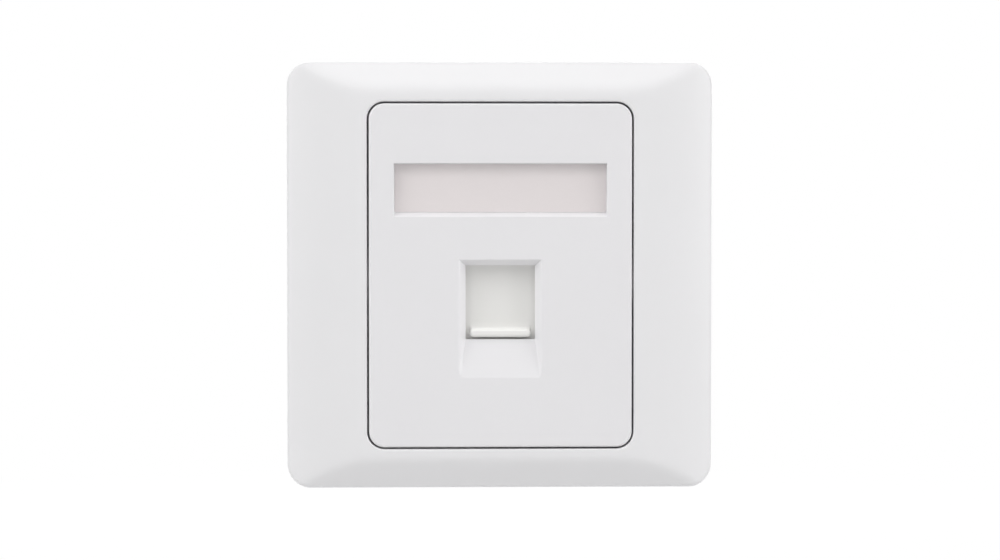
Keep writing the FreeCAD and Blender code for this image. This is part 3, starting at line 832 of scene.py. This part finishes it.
def make_shutter():
    """Shutter with its finger lip and the peg for its spring."""
    rings = plate_rings() + lip_root_rings() + lip_rings()
    piece = lofted("port_shutter", rings, SHUTTER_PLASTIC)
    peg = lofted("peg", peg_rings(), SHUTTER_PLASTIC)
    union = piece.modifiers.new("union", "BOOLEAN")
    union.operation = "UNION"
    union.object = peg
    lead_by_large_faces(piece)
    bake(piece)
    bpy.data.objects.remove(peg)
    return piece


# Label card

def make_card():
    """Blank card under the clear cover, cut by hand: slightly wavy, and a hair clear of the cover."""
    low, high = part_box("label_card")
    size = high - low
    middle = (low + high) / 2
    columns, rows = CARD_FACES
    shape = bmesh.new()
    bmesh.ops.create_grid(shape, x_segments=columns, y_segments=rows, size=0.5)
    for point in shape.verts:
        across, up = point.co.x, point.co.y
        wave = 0.5 + 0.5 * math.sin(WAVE_ACROSS * across + WAVE_START) * math.cos(WAVE_UP * up)
        point.co = (middle.x + across * size.x, low.y + CARD_GAP + wave * CARD_WAVE, middle.z + up * size.z)
    piece = piece_from_shape("card_strip", shape, LABEL_PAPER)
    thick = piece.modifiers.new("thick", "SOLIDIFY")
    thick.thickness = size.y - CARD_GAP - CARD_WAVE
    thick.offset = -1.0
    bake(piece)
    smooth(piece, CARD_CREASE)
    return piece


# Building

def dress(piece, node, body):
    """Lets a piece stand for a node, on its body."""
    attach(piece, body)
    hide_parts(node)


dress(make_frame(), "outer_frame", "plate")
dress(make_panel(), "centre_plate", "plate")
dress(make_card(), "label_card", "plate")
dress(make_cover(), "label_window", "plate")
dress(make_shutter(), "shutter", "shutter")
dress(make_cradle(), "jack_cradle", "plate")
spring = make_spring()
dress(spring, "shutter_spring", "plate")
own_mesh(spring)


# Studio

def make_camera():
    """Camera at the photo's angle and framing."""
    seen_width = PHOTO_WIDTH / PIXELS_PER_MM * MM
    distance = LENS / SENSOR * seen_width
    right, above = [pixels / PIXELS_PER_MM * MM for pixels in OBJECT_MIDDLE]
    aim = Vector((-right, -RIM_HEIGHT, -above))
    level = math.cos(CAMERA_ELEVATION)
    back = Vector(
        (level * math.sin(CAMERA_TURN), -level * math.cos(CAMERA_TURN), math.sin(CAMERA_ELEVATION))
    )
    data = bpy.data.cameras.new("camera")
    data.lens = LENS
    data.sensor_width = SENSOR
    data.clip_start = CLIP_START
    camera = bpy.data.objects.new("camera", data)
    camera.location = aim + back * distance
    camera.rotation_euler = (-back).to_track_quat("-Z", "Y").to_euler()
    bpy.context.scene.collection.objects.link(camera)
    bpy.context.scene.camera = camera


def seen_directly(tree):
    """1 for rays from the camera, and for reflections and what is seen through clear plastic."""
    return any_ray(tree, "Is Camera Ray", "Is Glossy Ray", "Is Transmission Ray")


def make_world():
    """White surroundings, which light the plate only a little."""
    world = bpy.data.worlds.new("studio")
    world.use_nodes = True
    tree = world.node_tree
    tree.nodes.clear()
    white = add_node(tree, "ShaderNodeBackground", {"Color": grey(1.0), "Strength": 1.0})
    light = add_node(tree, "ShaderNodeBackground", {"Color": grey(1.0), "Strength": WORLD_LIGHT})
    mixed = add_node(
        tree, "ShaderNodeMixShader", {"Fac": seen_directly(tree), 1: light.outputs[0], 2: white.outputs[0]}
    )
    add_node(tree, "ShaderNodeOutputWorld", {"Surface": mixed.outputs[0]})
    bpy.context.scene.world = world


def floor_material():
    """Pale floor that goes over to plain white round the plate and lights the plate from below."""
    material, tree = new_material("pale_floor")
    pale = add_node(tree, "ShaderNodeBsdfDiffuse", {"Color": grey(FLOOR_TONE)})
    white = add_node(tree, "ShaderNodeEmission", {"Color": grey(1.0), "Strength": 1.0})
    place = add_node(tree, "ShaderNodeTexCoord").outputs["Object"]
    distance = add_node(tree, "ShaderNodeVectorMath", {0: place}, operation="LENGTH")
    whiteness = add_node(
        tree, "ShaderNodeMapRange",
        {"Value": distance.outputs["Value"], "From Min": -FLOOR_HEIGHT, "From Max": WHITE_REACH,
         "To Min": FLOOR_WHITENESS, "To Max": 1.0},
    )
    bright = add_node(
        tree, "ShaderNodeMixShader",
        {"Fac": whiteness.outputs["Result"], 1: pale.outputs[0], 2: white.outputs[0]},
    )
    dim = add_node(tree, "ShaderNodeBsdfDiffuse", {"Color": grey(FLOOR_BOUNCE)})
    mixed = add_node(
        tree, "ShaderNodeMixShader", {"Fac": seen_directly(tree), 1: dim.outputs[0], 2: bright.outputs[0]}
    )
    finish_material(tree, mixed)
    return material


def make_floor():
    """Wide floor under the plate."""
    sides = ((-1, -1), (1, -1), (1, 1), (-1, 1))
    corners = [(x * FLOOR_REACH, y * FLOOR_REACH, FLOOR_HEIGHT) for x, y in sides]
    mesh = bpy.data.meshes.new("floor")
    mesh.from_pydata(corners, [], [(0, 1, 2, 3)])
    mesh.materials.append(floor_material())
    new_piece("floor", mesh)


def make_lamp(name, place, side, power):
    """Square soft lamp that looks at the plate."""
    data = bpy.data.lights.new(name, "AREA")
    data.size = side
    data.energy = power
    lamp = bpy.data.objects.new(name, data)
    lamp.location = place
    lamp.rotation_euler = (-Vector(place)).to_track_quat("-Z", "Y").to_euler()
    bpy.context.scene.collection.objects.link(lamp)


bpy.context.scene.view_settings.view_transform = "Standard"
make_camera()
make_world()
make_floor()
for lamp in LAMPS:
    make_lamp(*lamp)
